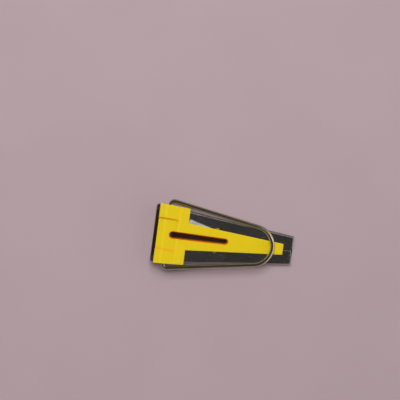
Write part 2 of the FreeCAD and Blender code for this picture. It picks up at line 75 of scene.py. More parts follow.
# The guide's solid comes as loose triangles, and corners of theirs this close are one corner.
WELD = 0.001 * MM
# Cutting and rounding leave slivers, so afterwards points this close become one.
SLIVER = 0.008 * MM
# Turn between two faces. Up to the first they are one face. Above the others, an edge of the guide is
# rounded, any edge is shaded sharp, and an edge of the sheet is rounded.
ONE_FACE = math.radians(0.6)
GUIDE_EDGE = math.radians(24)
SHARP_EDGE = math.radians(35)
SHEET_EDGE = math.radians(50)
ROUND_STEPS = 3
# A point of the guide this close lies on a line, by the slot's wall, or by the end of the sunk middle.
ON_LINE = 0.02 * MM
BY_WALL = 0.05 * MM
BY_END = 0.1 * MM
# Out from the side of the sunk middle: the reach of its rim, and of the edges that aren't rounded again.
RIM_REACH = 0.3 * MM
KEEP_OFF = 1.0 * MM

# The wire: points along a pin, as shares of its length and closer on its rounded end, steps along a leg,
# sides of its circle, turn between two points of a bend, and how far its ends are rounded towards a point.
PIN_POINTS = (0, 0.004, 0.016, 0.036, 0.06, 0.1, 0.3, 0.6, 1)
LEG_STEPS = 16
WIRE_SIDES = 32
ARC_STEP = math.radians(4)
END_ROUNDING = 0.9

# The stage: the point below the camera, the lamp, the floor, the backdrop's strength and the sky's colours.
VIEW_CENTRE = (-12.9 * MM, 17.3 * MM)
LAMP_PLACE = (-0.15, 0.45, 1.0)
LAMP_SIZE = 0.95
FLOOR_HALF = 3.0
BACKDROP = 0.8
DAYLIGHT = (1.0, 0.985, 0.97, 1.0)
WARM = (1.0, 0.86, 0.62, 1.0)
# The sky's bright parts. A pair says how far a direction points along an axis where such a part fades.
WINDOW_STARTS, WINDOW_ENDS = (0.11, 0.16), (0.27, 0.36)
WINDOW_LOW, WINDOW_TIP = (0.25, 0.6), (0.07, 0.12)
WINDOW_TILT = 0.1
WINDOW_DROP = 0.95
BAND_LOW, BAND_HIGH = (0.1, 0.2), (-0.6, -0.5)
BRIGHT_END, HORIZON = (0.55, 0.75), (-0.1, 0.1)
CLOUD_SCALE = 7.0


def length(name, description, millimetres):
    """A size in metres that the sidebar shows with its unit."""
    return FloatProperty(
        name=name, description=description, default=millimetres * MM, min=0.0, unit="LENGTH", precision=5
    )


def colour(name, description, value):
    """A colour with a picker in the sidebar."""
    return FloatVectorProperty(
        name=name, description=description, default=value, size=3, min=0.0, max=1.0, subtype="COLOR"
    )


def level(name, description, value):
    """A brightness of a part of the sky."""
    return FloatProperty(name=name, description=description, default=value, min=0.0)


class HornSizes(bpy.types.PropertyGroup):
    """The folded sheet-metal horn."""

    long: length("Length", "Mouth edge to tip edge", (HORN_HIGH.x - HORN_LOW.x) / MM)
    mouth_width: length("Mouth width", "Outside width at the mouth edge", (HORN_HIGH.y - HORN_LOW.y) / MM)
    tip_width: length("Tip width", "Outside width at the tip edge", 13.2)
    knee: length("Knee distance", "Mouth edge to the line where the top becomes flatter", 35.0)
    mouth_height: length("Mouth height", "Outside height at the mouth edge, were its walls not raked", 6.8)
    knee_height: length("Knee height", "Outside height at the knee", 3.1)
    tip_height: length("Tip height", "Outside height at the tip edge", 2.1)
    mouth_wall: length("Mouth wall", "Straight part of the wall at the mouth", 0.8)
    knee_wall: length("Knee wall", "Straight part of the wall at the knee", 0.4)
    tip_wall: length("Tip wall", "Straight part of the wall at the tip", 0.1)
    sheet: length("Sheet", "Thickness of the plated sheet", 0.5)
    fold: length("Fold radius", "Outside radius between wall and flap", 1.0)
    flap: length("Flap width", "Each flap, across the mouth", 6.45)
    seam: length("Seam gap", "Between the flaps where they run parallel", 0.35)
    seam_length: length("Seam length", "Parallel part of the seam", 5.5)
    lip: length("Lip length", "Run of the raked front edge of the walls", 1.8)
    lip_height: length("Lip height", "Height of the walls at the mouth edge", 2.4)
    setback: length("Flap setback", "Floor standing proud of the flaps at the tip", 0.4)
    notch: length("Seam notch", "Further cut at the flaps' inner corners", 0.5)
    notch_width: length("Seam notch width", "Reach of that cut across the left flap", 0.9)
    dip: length("Dip", "Flap pressed down behind the guide, but for its inner edge", 0.33)
    dip_width: length("Dip width", "Width of the inner edge's slope where it meets the guide", 2.95)
    dip_start: length("Dip start", "Mouth edge to where the dip begins", 14.3)
    dip_full: length("Dip full", "Mouth edge to where the dip is deepest", 15.8)
    dip_end: length("Dip end", "Mouth edge to where the dip has run out", 35.0)
    lug_distance: length("Lug distance", "Mouth edge to the middle of the lugs' notches", 28.7)
    lug_length: length("Lug notch", "Length of those notches", 1.8)
    lug_reach: length("Lug notch reach", "Middle line to those notches' outer side", 5.73)
    edge: length("Edge radius", "Rounding of the sheet's sheared edges", 0.18)


class GuideSizes(bpy.types.PropertyGroup):
    """The moulded strip guide."""

    rim: length("Rim radius", "Rounding of the moulding's outer edges", 0.2)
    straight: length("Straight edge", "Shortest edge that is rounded", 3.0)
    slot_start: length("Slot start", "Mouth edge to the slot's front end", 7.3)
    slot_end: length("Slot end", "Mouth edge to the slot's rear end", 34.2)
    slot_front: length("Slot, front width", "Needle slot at its front end", 3.2)
    slot_rear: length("Slot, rear width", "Needle slot at its rear end", 2.6)
    recess_half: length("Recess side", "Middle line to the side of the sunk middle", 6.73)
    crest: length("Crest", "Mouth edge to the highest line across the cover", 4.8)
    recess_end: length("Recess end", "Mouth edge to the end of the sunk middle", 11.2)
    recess_depth: length("Recess depth", "Depth of the sunk middle, without its rounding", 0.4)
    recess_slope: length("Recess slope", "How far the sunk middle's side walls lean outwards", 0.55)
    draft: length("Slot draft", "How much narrower the slot is below, on each side", 0.7)
    under: length("Underside", "Height of the former's underside", 1.7)


class HandleSizes(bpy.types.PropertyGroup):
    """The bent wire handle."""

    wire: length("Wire", "Diameter of the wire", 2.0)
    pivot_distance: length("Pivot distance", "Mouth edge to the axis of the pins", 6.25)
    pivot_height: length("Pivot height", "Axis of the pins above the resting face", 4.5)
    pin: length("Pin end", "Middle line to the end of a pin", 10.107)
    span: length("Leg spread", "Middle line to a leg, beside the pins", 15.587)
    reach: length("Reach", "Axis of the pins to the far end of the loop, on the wire's middle", 48.2)
    loop: length("Loop radius", "Round end of the handle, on the wire's middle", 8.8)
    bend: length("Bend radius", "Bend between a leg and its pin, on the wire's middle", 1.8)
    rise: length("Rise", "How much higher than the pins the loop lies at rest", 0.079)
    burr: length("End rounding", "Rounding of the cut ends", 0.3)


class Finishes(bpy.types.PropertyGroup):
    """The colours of the three materials."""

    nickel: colour("Nickel", "Bright plate on the sheet", (0.66, 0.64, 0.61))
    # Painted shade: a dark colour for the plate inside the horn, where shade falls.
    nickel_inner_shade: colour("Nickel, inside", "Plate inside the horn, dulled by cloth", (0.20, 0.17, 0.15))
    wire: colour("Wire", "Bright plate on the wire", (0.60, 0.56, 0.48))
    plastic: colour("Plastic", "Faces of the moulding", (0.74, 0.56, 0.012))
    # Painted shade: the deeper orange of the moulding's corners, of its slot's rim, below the flaps and on
    # the lugs.
    plastic_shade: colour("Plastic, deep", "Its corners and what lies below the flaps", (0.82, 0.25, 0.004))
    # Painted shade: the dark red-brown inside the needle slot and on the lugs.
    plastic_slot_shade: colour("Plastic, slot", "The moulding inside the needle slot", (0.30, 0.045, 0.004))


class StageSettings(bpy.types.PropertyGroup):
    """Floor, light and camera."""

    floor: colour("Floor", "Colour of the floor", (0.43, 0.335, 0.37))
    frame_width: length("View width", "Width of the floor that the camera sees", 182.8)
    distance: length("Camera distance", "Camera above the floor", 600.0)
    turn: FloatProperty(
        name="Turn",
        description="Camera's turn about the vertical",
        default=math.radians(7.6),
        subtype="ANGLE",
    )
    lamp: FloatProperty(
        name="Lamp", description="Power of the window lamp", default=12.8, min=0.0, unit="POWER"
    )
    window: level("Window", "Brightness of the window that nickel mirrors", 0.95)
    low_band: level("Low band", "Brightness of the warm band above the horizon", 0.3)
    beyond_tip: level("Beyond tip", "Brightness on the side towards the tip", 0.7)
    overhead: level("Overhead", "Least brightness overhead", 0.022)
    cloud: level("Cloud", "How much the brightness overhead varies", 0.06)


# Values inside a node tree


class Field:
    """A number inside a node tree, which can be combined with ordinary arithmetic."""

    def __init__(self, tree, socket):
        self.tree, self.socket = tree, socket

    def apply(self, operation, *others, clamp=False):
        node = add_node(self.tree, "ShaderNodeMath", operation=operation, use_clamp=clamp)
        for socket, value in zip(node.inputs, (self, *others)):
            feed(self.tree, socket, value)
        return Field(self.tree, node.outputs[0])

    def __add__(self, other):
        return self.apply("ADD", other)

    def __sub__(self, other):
        return self.apply("SUBTRACT", other)

    def __mul__(self, other):
        return self.apply("MULTIPLY", other)

    def __truediv__(self, other):
        return self.apply("DIVIDE", other)

    def __neg__(self):
        return self.apply("MULTIPLY", -1.0)

    def clamp(self):
        return self.apply("ADD", 0.0, clamp=True)

    def least(self, other):
        return self.apply("MINIMUM", other)

    def most(self, other):
        return self.apply("MAXIMUM", other)


def add_node(tree, kind, **settings):
    """A node with its settings, placed in the next free spot of a plain grid."""
    node = tree.nodes.new(kind)
    column, row = divmod(len(tree.nodes), GRID_ROWS)
    node.location = (GRID_WIDTH * column, -GRID_HEIGHT * row)
    for name, value in settings.items():
        setattr(node, name, value)
    return node


def feed(tree, socket, value):
    """Links a field or an output to the socket, or sets the socket to a plain value."""
    if isinstance(value, Field):
        value = value.socket
    if isinstance(value, bpy.types.NodeSocket):
        tree.links.new(value, socket)
    else:
        socket.default_value = value


def split(tree, vector):
    """The x, y and z of a vector."""
    node = add_node(tree, "ShaderNodeSeparateXYZ")
    tree.links.new(vector, node.inputs[0])
    return [Field(tree, output) for output in node.outputs]


def join(tree, *values):
    """A vector from its x, y and z."""
    node = add_node(tree, "ShaderNodeCombineXYZ")
    for socket, value in zip(node.inputs, values):
        feed(tree, socket, value)
    return node.outputs[0]


def between(along, start, end, first, last):
    """The straight-line value from first at start to last at end, held beyond both."""
    return ((along - start) / (end - start)).clamp() * (last - first) + first


def by_knee(along, knee, end, first, at_knee, last):
    """The straight-line value from first at 0 to at_knee at the knee, and from there to last at the end."""
    past_knee = ((along - knee) / (end - knee)).clamp()
    return between(along, 0.0, knee, first, at_knee) + past_knee * (last - at_knee)


def geometry_tree(name, sizes, wanted):
    """A geometry tree with an input for each wanted size, and the fields of those inputs by name."""
    tree = bpy.data.node_groups.new(name, "GeometryNodeTree")
    tree.interface.new_socket("Geometry", in_out="INPUT", socket_type="NodeSocketGeometry")
    tree.interface.new_socket("Geometry", in_out="OUTPUT", socket_type="NodeSocketGeometry")
    identifiers = {}
    for key in wanted:
        prop = sizes.bl_rna.properties[key]
        socket = tree.interface.new_socket(prop.name, in_out="INPUT", socket_type="NodeSocketFloat")
        socket.subtype = "DISTANCE"
        identifiers[key] = socket.identifier
    entry = add_node(tree, "NodeGroupInput")
    fields = {key: Field(tree, entry.outputs[index]) for index, key in enumerate(wanted, start=1)}
    return tree, entry.outputs[0], fields, identifiers


def note(tree, geometry, name, value, kind="FLOAT"):
    """Stores the value at each point of the geometry under the name."""
    node = add_node(tree, "GeometryNodeStoreNamedAttribute", data_type=kind, domain="POINT")
    node.inputs["Name"].default_value = name
    tree.links.new(geometry, node.inputs["Geometry"])
    feed(tree, node.inputs["Value"], value)
    return node.outputs[0]


def finish_tree(tree, geometry, material):
    """Ends the tree: realised, smooth, in its material."""
    realise = add_node(tree, "GeometryNodeRealizeInstances")
    smooth = add_node(tree, "GeometryNodeSetShadeSmooth")
    paint = add_node(tree, "GeometryNodeSetMaterial")
    leave = add_node(tree, "NodeGroupOutput")
    paint.inputs["Material"].default_value = material
    tree.links.new(geometry, realise.inputs[0])
    tree.links.new(realise.outputs[0], smooth.inputs[0])
    tree.links.new(smooth.outputs[0], paint.inputs[0])
    tree.links.new(paint.outputs[0], leave.inputs[0])


def grow(obj, tree, identifiers, sizes):
    """Puts the tree on the object, with its inputs set from the sizes."""
    modifier = obj.modifiers.new(tree.name, "NODES")
    modifier.node_group = tree
    for key, identifier in identifiers.items():
        modifier[identifier] = getattr(sizes, key)


def settle(obj, name):
    """Turns the object with its modifiers into a plain mesh object of that name."""
    bpy.context.view_layer.update()
    evaluated = obj.evaluated_get(bpy.context.evaluated_depsgraph_get())
    mesh = bpy.data.meshes.new_from_object(evaluated)
    mesh.name = name
    bpy.data.objects.remove(obj)
    return new_object(name, mesh)


def add_bevel(obj, name, width, method):
    """Rounds the object's edges by the width, also where two rounded edges meet."""
    rounding = obj.modifiers.new(name, "BEVEL")
    rounding.width, rounding.segments = width, ROUND_STEPS
    rounding.limit_method, rounding.angle_limit = method, SHEET_EDGE
    rounding.use_clamp_overlap = False


def clean(mesh, flat=None):
    """Removes the slivers that cutting and rounding leave, and joins faces that are flat to the angle."""
    shape = bmesh.new()
    shape.from_mesh(mesh)
    bmesh.ops.remove_doubles(shape, verts=shape.verts, dist=SLIVER)
    bmesh.ops.dissolve_degenerate(shape, edges=shape.edges, dist=SLIVER)
    many = [face for face in shape.faces if len(face.verts) > 4]
    bmesh.ops.triangulate(shape, faces=many, quad_method="BEAUTY", ngon_method="BEAUTY")
    bmesh.ops.dissolve_degenerate(shape, edges=shape.edges, dist=SLIVER)
    if flat:
        bmesh.ops.dissolve_limit(shape, angle_limit=flat, verts=shape.verts, edges=shape.edges)
    shape.to_mesh(mesh)
    shape.free()


def new_object(name, data):
    """An object in the scene that shows the data."""
    obj = bpy.data.objects.new(name, data)
    bpy.context.scene.collection.objects.link(obj)
    return obj


def mesh_from(name, build):
    """A mesh filled by build(bmesh)."""
    shape = bmesh.new()
    build(shape)
    mesh = bpy.data.meshes.new(name)
    shape.to_mesh(mesh)
    shape.free()
    return mesh


# Materials


def shader_group(name, inputs):
    """A shader node group with number inputs, given as pairs of name and default, that puts out a mask."""
    tree = bpy.data.node_groups.new(name, "ShaderNodeTree")
    for title, default in inputs:
        socket = tree.interface.new_socket(title, in_out="INPUT", socket_type="NodeSocketFloat")
        socket.default_value = default
    tree.interface.new_socket("Mask", in_out="OUTPUT", socket_type="NodeSocketFloat")
    entry, leave = add_node(tree, "NodeGroupInput"), add_node(tree, "NodeGroupOutput")
    return tree, {title: Field(tree, entry.outputs[title]) for title, _ in inputs}, leave


def object_point(tree, stretch=(1.0, 1.0, 1.0)):
    """Object coordinates, in millimetres, stretched."""
    place = add_node(tree, "ShaderNodeTexCoord")
    scale = add_node(tree, "ShaderNodeMapping")
    scale.inputs["Scale"].default_value = [1 / MM / factor for factor in stretch]
    tree.links.new(place.outputs["Object"], scale.inputs["Vector"])
    return scale.outputs[0]


def noise(tree, point, scale, detail=4.0):
    """Noise from 0 to 1 at the point."""
    node = add_node(tree, "ShaderNodeTexNoise")
    tree.links.new(point, node.inputs["Vector"])
    feed(tree, node.inputs["Scale"], scale)
    node.inputs["Detail"].default_value = detail
    return Field(tree, node.outputs["Fac"])


def ramp(field, low, high):
    """0 where the field is below low, 1 where it is above high, smooth between."""
    node = add_node(field.tree, "ShaderNodeMapRange", interpolation_type="SMOOTHSTEP")
    feed(field.tree, node.inputs["Value"], field)
    node.inputs["From Min"].default_value = low
    node.inputs["From Max"].default_value = high
    return Field(field.tree, node.outputs["Result"])


def mix_colour(tree, share, first, second):
    """The first colour at share 0 and the second at share 1."""
    node = add_node(tree, "ShaderNodeMix", data_type="RGBA")
    feed(tree, node.inputs["Factor"], share)
    # A Mix node has a set of sockets for each kind of data. These are the ones for colours.
    feed(tree, node.inputs[6], first)
    feed(tree, node.inputs[7], second)
    return node.outputs[2]


def scratch_group():
    """Short fine scratches in three crossing directions: a mask."""
    tree, inputs, leave = shader_group("Fine scratches", (("Density", 0.5),))
    masks = []
    for angle, offset in ((0.35, 0.0), (-0.9, 7.3), (1.4, 19.1)):
        point = object_point(tree)
        turn = add_node(tree, "ShaderNodeMapping")
        turn.inputs["Location"].default_value = (offset, offset, offset)
        turn.inputs["Rotation"].default_value = (0.0, 0.0, angle)
        turn.inputs["Scale"].default_value = (0.16, 5.0, 1.0)
        tree.links.new(point, turn.inputs["Vector"])
        lines = ramp(noise(tree, turn.outputs[0], 1.0, detail=1.0), 0.70, 0.78)
        patches = noise(tree, point, 0.35, detail=2.0)
        masks.append(lines * ramp(patches + inputs["Density"] * 0.2, 0.55, 0.7))
    feed(tree, leave.inputs["Mask"], masks[0].most(masks[1]).most(masks[2]).clamp())
    return tree


def wear_group():
    """Edges and corners rubbed by handling: a mask, broken up by noise."""
    tree, inputs, leave = shader_group("Edge wear", (("Amount", 0.5), ("Breakup", 1.2)))
    shape = add_node(tree, "ShaderNodeNewGeometry")
    sharp = ramp(Field(tree, shape.outputs["Pointiness"]), 0.51, 0.58)
    broken = ramp(noise(tree, object_point(tree), inputs["Breakup"]), 0.35, 0.65)
    feed(tree, leave.inputs["Mask"], (sharp * (broken * 0.7 + 0.3) * inputs["Amount"]).clamp())
    return tree


def place_group(tree, group, **values):
    """Places a group in a material with its own values, and returns its mask."""
    node = add_node(tree, "ShaderNodeGroup", node_tree=group)
    for title, value in values.items():
        node.inputs[title].default_value = value
    return Field(tree, node.outputs[0])


def new_material(name):
    """A new material, its node tree and its shader."""
    material = bpy.data.materials.new(name)
    material.use_nodes = True
    shader = material.node_tree.nodes["Principled BSDF"]
    return material, material.node_tree, shader


def bump(tree, shader, height):
    """Feeds the height, in millimetres, into the shader's normal."""
    node = add_node(tree, "ShaderNodeBump")
    node.inputs["Distance"].default_value = MM
    feed(tree, node.inputs["Height"], height)
    tree.links.new(node.outputs[0], shader.inputs["Normal"])


def nickel_sheet(colours, scratches, wear):
    """Bright nickel on rolled sheet: rolling marks along the horn, faint waves, scratches and rubbed edges.
    Its inner skin is rougher, and its colour is dark as painted shade, up to just short of the tip."""
    material, tree, shader = new_material("Nickel sheet")
    point = object_point(tree)
    rolled = noise(tree, object_point(tree, (9.0, 0.16, 0.16)), 1.0, detail=3.0)
    waves = noise(tree, object_point(tree, (6.0, 3.0, 3.0)), 1.0, detail=1.0)
    cloud = noise(tree, point, 0.12)
    marks = place_group(tree, scratches, Density=0.5)
    rubbed = place_group(tree, wear, Amount=0.8)
    base = (*colours.nickel, 1.0)
    dull = (*(0.6 * c for c in colours.nickel), 1.0)
    outer = mix_colour(tree, ramp(cloud, 0.35, 0.7) * 0.5 + ramp(rolled, 0.4, 0.7) * 0.5, base, dull)
    bright = (0.78, 0.77, 0.75, 1.0)
    inner = Field(tree, add_node(tree, "ShaderNodeAttribute", attribute_name="inner_skin").outputs["Fac"])
    x, _, _ = split(tree, point)
    inner = inner * ramp(-x, -SHADE_AND_DULL_ENDS, -SHADE_AND_DULL_FADES)
    # Painted shade: the inner skin takes the dark inside colour.
    plate = mix_colour(tree, ramp(inner, 0.4, 1.0), outer, (*colours.nickel_inner_shade, 1.0))
    feed(tree, shader.inputs["Base Color"], mix_colour(tree, rubbed * 0.5, plate, bright))
    shader.inputs["Metallic"].default_value = 1.0
    rough = rolled * 0.08 + marks * 0.3 + rubbed * 0.1 + cloud * 0.06 + inner * 0.15 + 0.09
    feed(tree, shader.inputs["Roughness"], rough)
    bump(tree, shader, rolled * 0.0012 + waves * 0.03 - marks * 0.002)
    return material


def nickel_wire(colours, scratches, wear):
    """Bright nickel on drawn wire: drawing marks that run along it."""
    material, tree, shader = new_material("Nickel wire")
    along = add_node(tree, "ShaderNodeAttribute", attribute_name="wire_place")
    place = add_node(tree, "ShaderNodeMapping")
    place.inputs["Scale"].default_value = (0.12, 2.6, 2.6)
    tree.links.new(along.outputs["Vector"], place.inputs["Vector"])
    drawn = noise(tree, place.outputs[0], 1.0, detail=3.0)
    cloud = noise(tree, object_point(tree), 0.25)
    marks = place_group(tree, scratches, Density=0.2)
    rubbed = place_group(tree, wear, Amount=0.5)
    base = (*colours.wire, 1.0)
    dull = (*(0.85 * c for c in colours.wire), 1.0)
    plate = mix_colour(tree, ramp(cloud + rubbed * 0.1, 0.4, 0.7), base, dull)
    feed(tree, shader.inputs["Base Color"], plate)
    shader.inputs["Metallic"].default_value = 1.0
    feed(tree, shader.inputs["Roughness"], drawn * 0.06 + marks * 0.1 + 0.06)
    bump(tree, shader, drawn * 0.003 - marks * 0.001)
    return material


def close_to(field, value, edge, core=0.0):
    """1 where the field is within core of the value, 0 where it is further than edge, smooth between."""
    return ramp(-(field - value).apply("ABSOLUTE"), -edge, -core)


def hollow(tree, horn, guide):
    """Three masks of painted light: shade that deepens the moulding's colour by its slot, at its corners and
    below the flaps;
    dark shade inside its slot and on its lugs; and a highlight on the two crests across its cover."""
    x, y, z = split(tree, add_node(tree, "ShaderNodeTexCoord").outputs["Object"])
    x, aside = x + horn.long / 2, y.apply("ABSOLUTE")
    first, last = guide.slot_start + guide.slot_front / 2, guide.slot_end - guide.slot_rear / 2
    share = ((x - first) / (last - first)).clamp()
    beyond = (x - (share * (last - first) + first)).apply("ABSOLUTE")
    reach = (beyond * beyond + aside * aside).apply("SQRT")
    to_slot = reach - (share * (guide.slot_rear - guide.slot_front) + guide.slot_front) * 0.5
    top = by_knee(x, horn.knee, horn.long, horn.mouth_height, horn.knee_height, horn.tip_height)
    slot_rim_shade, slot_shade = ramp(-to_slot, -0.5 * MM, 0.05 * MM), ramp(-to_slot, 0.1 * MM, 0.75 * MM)
    corner_shade = close_to(aside, guide.recess_half + guide.recess_slope / 2, MM)
    corner_shade = corner_shade * ramp(-x, -guide.recess_end - 0.2 * MM, -guide.recess_end + 1.2 * MM)
    corner_shade = corner_shade * ramp(z - top, 0.15 * MM, 0.35 * MM)
    below = ramp(top - z, -0.35 * MM, 0.0)
    # Painted shade on the lugs, below the flaps.
    lug_shade = close_to(x, horn.lug_distance, 1.6 * MM, 1.1 * MM) * below
    lug_shade = lug_shade * ramp(aside, horn.lug_reach - 1.4 * MM, horn.lug_reach - 1.0 * MM)
    # A painted highlight along the two crests across the cover.
    crest_highlight = close_to(x, guide.crest, MM).most(close_to(x, guide.recess_end, MM))
    crest_highlight = crest_highlight * ramp(z - top, 0.2 * MM, 0.5 * MM)
    # Painted shade, a deeper orange: round the slot's rim, in the corners of the sunk middle, below the
    # flaps and on the lugs.
    depth = slot_rim_shade.most(corner_shade * 0.5).most(below * 0.35).most(lug_shade)
    return depth, slot_shade.most(lug_shade * 0.8), crest_highlight


def yellow_plastic(colours, horn, guide, scratches, wear):
    """Glossy moulded plastic, a little translucent, with painted shade in its hollows and a painted
    highlight on its crests.
    """
    material, tree, shader = new_material("Yellow plastic")
    point = object_point(tree)
    depth, slot_shade, crest_highlight = hollow(tree, horn, guide)
    flow = noise(tree, object_point(tree, (5.0, 1.6, 1.6)), 0.4, detail=2.0)
    grain = noise(tree, point, 9.0, detail=3.0)
    marks = place_group(tree, scratches, Density=0.35)
    rubbed = place_group(tree, wear, Amount=0.6, Breakup=0.8)
    base, deep = (*colours.plastic, 1.0), (*colours.plastic_shade, 1.0)
    # Painted shade deepens the colour where its mask is high, with random tone from the flow noise.
    body = mix_colour(tree, (depth + (flow - 0.5) * 0.12).clamp(), base, deep)
    # Painted shade: dark red-brown inside the slot and on the lugs.
    body = mix_colour(tree, slot_shade, body, (*colours.plastic_slot_shade, 1.0))
    pale = (*(min(1.0, 1.12 * c + 0.02) for c in colours.plastic), 1.0)
    # Pale where handling wore and scratched the edges, and a painted highlight along the crests.
    wear_and_highlight = (rubbed * 0.6 + marks * 0.15 + crest_highlight * 0.4).clamp()
    feed(tree, shader.inputs["Base Color"], mix_colour(tree, wear_and_highlight, body, pale))
    feed(tree, shader.inputs["Roughness"], grain * 0.06 + marks * 0.2 + rubbed * 0.1 + 0.17)
    shader.inputs["IOR"].default_value = 1.49
    shader.inputs["Subsurface Weight"].default_value = 0.4
    shader.inputs["Subsurface Radius"].default_value = (1.0, 0.45, 0.04)
    shader.inputs["Subsurface Scale"].default_value = 1.6 * MM
    bump(tree, shader, grain * 0.001 + flow * 0.01 - marks * 0.002)
    return material


def shared_groups():
    """The two effects that every finish uses, built once."""
    names = {"Fine scratches": scratch_group, "Edge wear": wear_group}
    return [bpy.data.node_groups.get(name) or build() for name, build in names.items()]


# The horn


def section(size, x, shares, inset):
    """Distance from the middle, and height, of a point of the sheet at distance x from the mouth. Its shares
    say how far through floor, corner, wall, fold and flap it lies, and its inset how deep in the sheet."""
    floor, corner, wall, fold, flap = shares
    quarter, knee, end = math.pi / 2, size["knee"], size["long"]
    half_width = between(x, 0.0, end, size["mouth_width"], size["tip_width"]) * 0.5
    top = by_knee(x, knee, end, size["mouth_height"], size["knee_height"], size["tip_height"])
    straight = by_knee(x, knee, end, size["mouth_wall"], size["knee_wall"], size["tip_wall"])
    radius = top - size["fold"] - straight
    mouth_gap, seam_start = size["mouth_width"] * 0.5 - size["flap"], end - size["seam_length"]
    gap = between(x, 0.0, seam_start, mouth_gap, size["seam"] * 0.5)
    begun = ((x - size["dip_start"]) / (size["dip_full"] - size["dip_start"])).clamp()
    left_over = (-(x - size["dip_end"]) / (size["dip_end"] - size["dip_full"])).clamp()
    wedge = size["dip_width"] * begun * left_over
    slope = size["dip"] / size["dip_width"]
    inner_radius, inner_fold = radius - inset, size["fold"] - inset
    flap_whole = half_width - size["fold"] - gap
    flap_run = flap_whole * flap
    y = (half_width - radius) * floor + inner_radius * (corner * quarter).apply("SINE")
    y = y - inner_fold * (-(fold * quarter).apply("COSINE") + 1.0) - flap_run
    z = radius - inner_radius * (corner * quarter).apply("COSINE")
    z = z + (top - slope * wedge - size["fold"] - radius) * wall
    z = z + inner_fold * (fold * quarter).apply("SINE")
    z = z + slope * (flap_run - (flap_whole - wedge)).most(0.0)
    return y, z


def horn_tree(sizes, material):
    """A box of fine squares, bent by rule into a tapered sheet with a floor, two walls and two flaps."""
    wanted = [key for key in HornSizes.__annotations__ if key not in CUT_SIZES]
    tree, _, size, identifiers = geometry_tree("Folded horn", sizes, wanted)
    half_steps = sum(ACROSS_STEPS)
    box = add_node(tree, "GeometryNodeMeshCube")
    for name, count in (("X", ALONG_STEPS), ("Y", 2 * half_steps), ("Z", 1)):
        box.inputs[f"Vertices {name}"].default_value = count + 1
    run, across, up = split(tree, add_node(tree, "GeometryNodeInputPosition").outputs[0])
    run, up = run + 0.5, up + 0.5
    noted = note(tree, box.outputs["Mesh"], "inner_skin", up)
    side = across.apply("SIGN")
    step = across.apply("ABSOLUTE") * 2.0 * half_steps
    shares, start = [], 0
    for count in ACROSS_STEPS:
        shares.append(((step - start) / count).clamp())
        start += count
    *_, fold, flap = shares
    inset = up * size["sheet"]
    _, mouth_z = section(size, run * 0.0, shares, inset)
    rise = (mouth_z - size["lip_height"]) / (size["mouth_height"] - size["lip_height"])
    front = size["lip"] * rise.clamp() * RAKE_SHARE
    left = (-side).clamp()
    cut_back = size["setback"] * (fold * SETBACK_RATE).clamp() + size["notch"] * flap * left
    x = front + (size["long"] - cut_back - front) * run
    y, z = section(size, x, shares, inset)
    move = add_node(tree, "GeometryNodeSetPosition")
    tree.links.new(noted, move.inputs["Geometry"])
    tree.links.new(join(tree, x - size["long"] * 0.5, y * side, z), move.inputs["Position"])
    finish_tree(tree, move.outputs[0], material)
    return tree, identifiers


def box_between(shape, low, high):
    """A box added to the mesh between two corners."""
    made = bmesh.ops.create_cube(shape, size=1.0)["verts"]
    low, high = Vector(low), Vector(high)
    for vertex in made:
        vertex.co = (low + high) / 2 + (high - low) * vertex.co


def cutters(horn, handle):
    """Shapes taken out of the horn: the pins' holes, the lugs' notches and the seam's corner."""
    middle, above = horn.long / 2, horn.mouth_height

    def build(shape):
        radius, through = handle.wire / 2 + HOLE_CLEARANCE, horn.mouth_width * 1.2
        made = bmesh.ops.create_cone(
            shape, cap_ends=True, segments=HOLE_SIDES, radius1=radius, radius2=radius, depth=through
        )
        ring = made["verts"]
        across = Vector((0, 0, 1)).rotation_difference(Vector((0, 1, 0))).to_matrix()
        bmesh.ops.rotate(shape, verts=ring, matrix=across)
        bmesh.ops.translate(shape, verts=ring, vec=(handle.pivot_distance - middle, 0, handle.pivot_height))
        low = horn.tip_height / 2
        lugs = horn.lug_distance - horn.lug_length / 2 - middle
        box_between(shape, (lugs, -horn.lug_reach, low), (lugs + horn.lug_length, horn.lug_reach, above))
        corner, past_tip = horn.long - horn.setback - horn.notch - middle, middle + horn.edge
        reach = horn.seam / 2 + horn.notch_width
        box_between(shape, (corner, -horn.seam / 2, low), (past_tip, reach, above))

    return new_object("cutters", mesh_from("cutters", build))


class TAPEFOLDER_OT_horn(bpy.types.Operator):
    """Folds the nickel sheet into the horn, in place of the CAD solid"""

    bl_idname = "tape_folder.horn"
    bl_label = "Fold the horn"

    def execute(self, context):
        scene = context.scene
        sizes = scene.horn_sizes
        material = nickel_sheet(scene.finishes, *shared_groups())
        tree, identifiers = horn_tree(sizes, material)
        blank = new_object("horn_blank", bpy.data.meshes.new("horn_blank"))
        grow(blank, tree, identifiers, sizes)
        add_bevel(blank, "Sheared edges", sizes.edge, "ANGLE")
        tool = cutters(sizes, scene.handle_sizes)
        holes = blank.modifiers.new("Pin holes", "BOOLEAN")
        holes.object, holes.operation, holes.solver = tool, "DIFFERENCE", "EXACT"
        horn = settle(blank, "nickel_horn")
        clean(horn.data)
        horn.data.set_sharp_from_angle(angle=SHARP_EDGE)
        bpy.data.objects.remove(tool)
        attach(horn, "folder")
        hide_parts("folding_horn")
        return {"FINISHED"}


# The guide


def foot_of_recess(shape, horn, guide):
    """The points, by rising x, where a side wall of the sunk middle stands on its floor."""
    points = set()
    # Only the cover is this high.
    cover = horn.knee_height * 2
    for edge in shape.edges:
        if len(edge.link_faces) == 2 and not edge.is_convex and edge.calc_face_angle() > GUIDE_EDGE:
            ends = [vertex.co for vertex in edge.verts]
            on_side = all(abs(abs(end.y) - guide.recess_half) < ON_LINE for end in ends)
            in_front = all(end.x + horn.long / 2 < guide.recess_end + BY_END for end in ends)
            if on_side and in_front and min(end.z for end in ends) > cover:
                points.update((round(end.x, 7), round(end.z, 7)) for end in ends)
    return sorted(points)


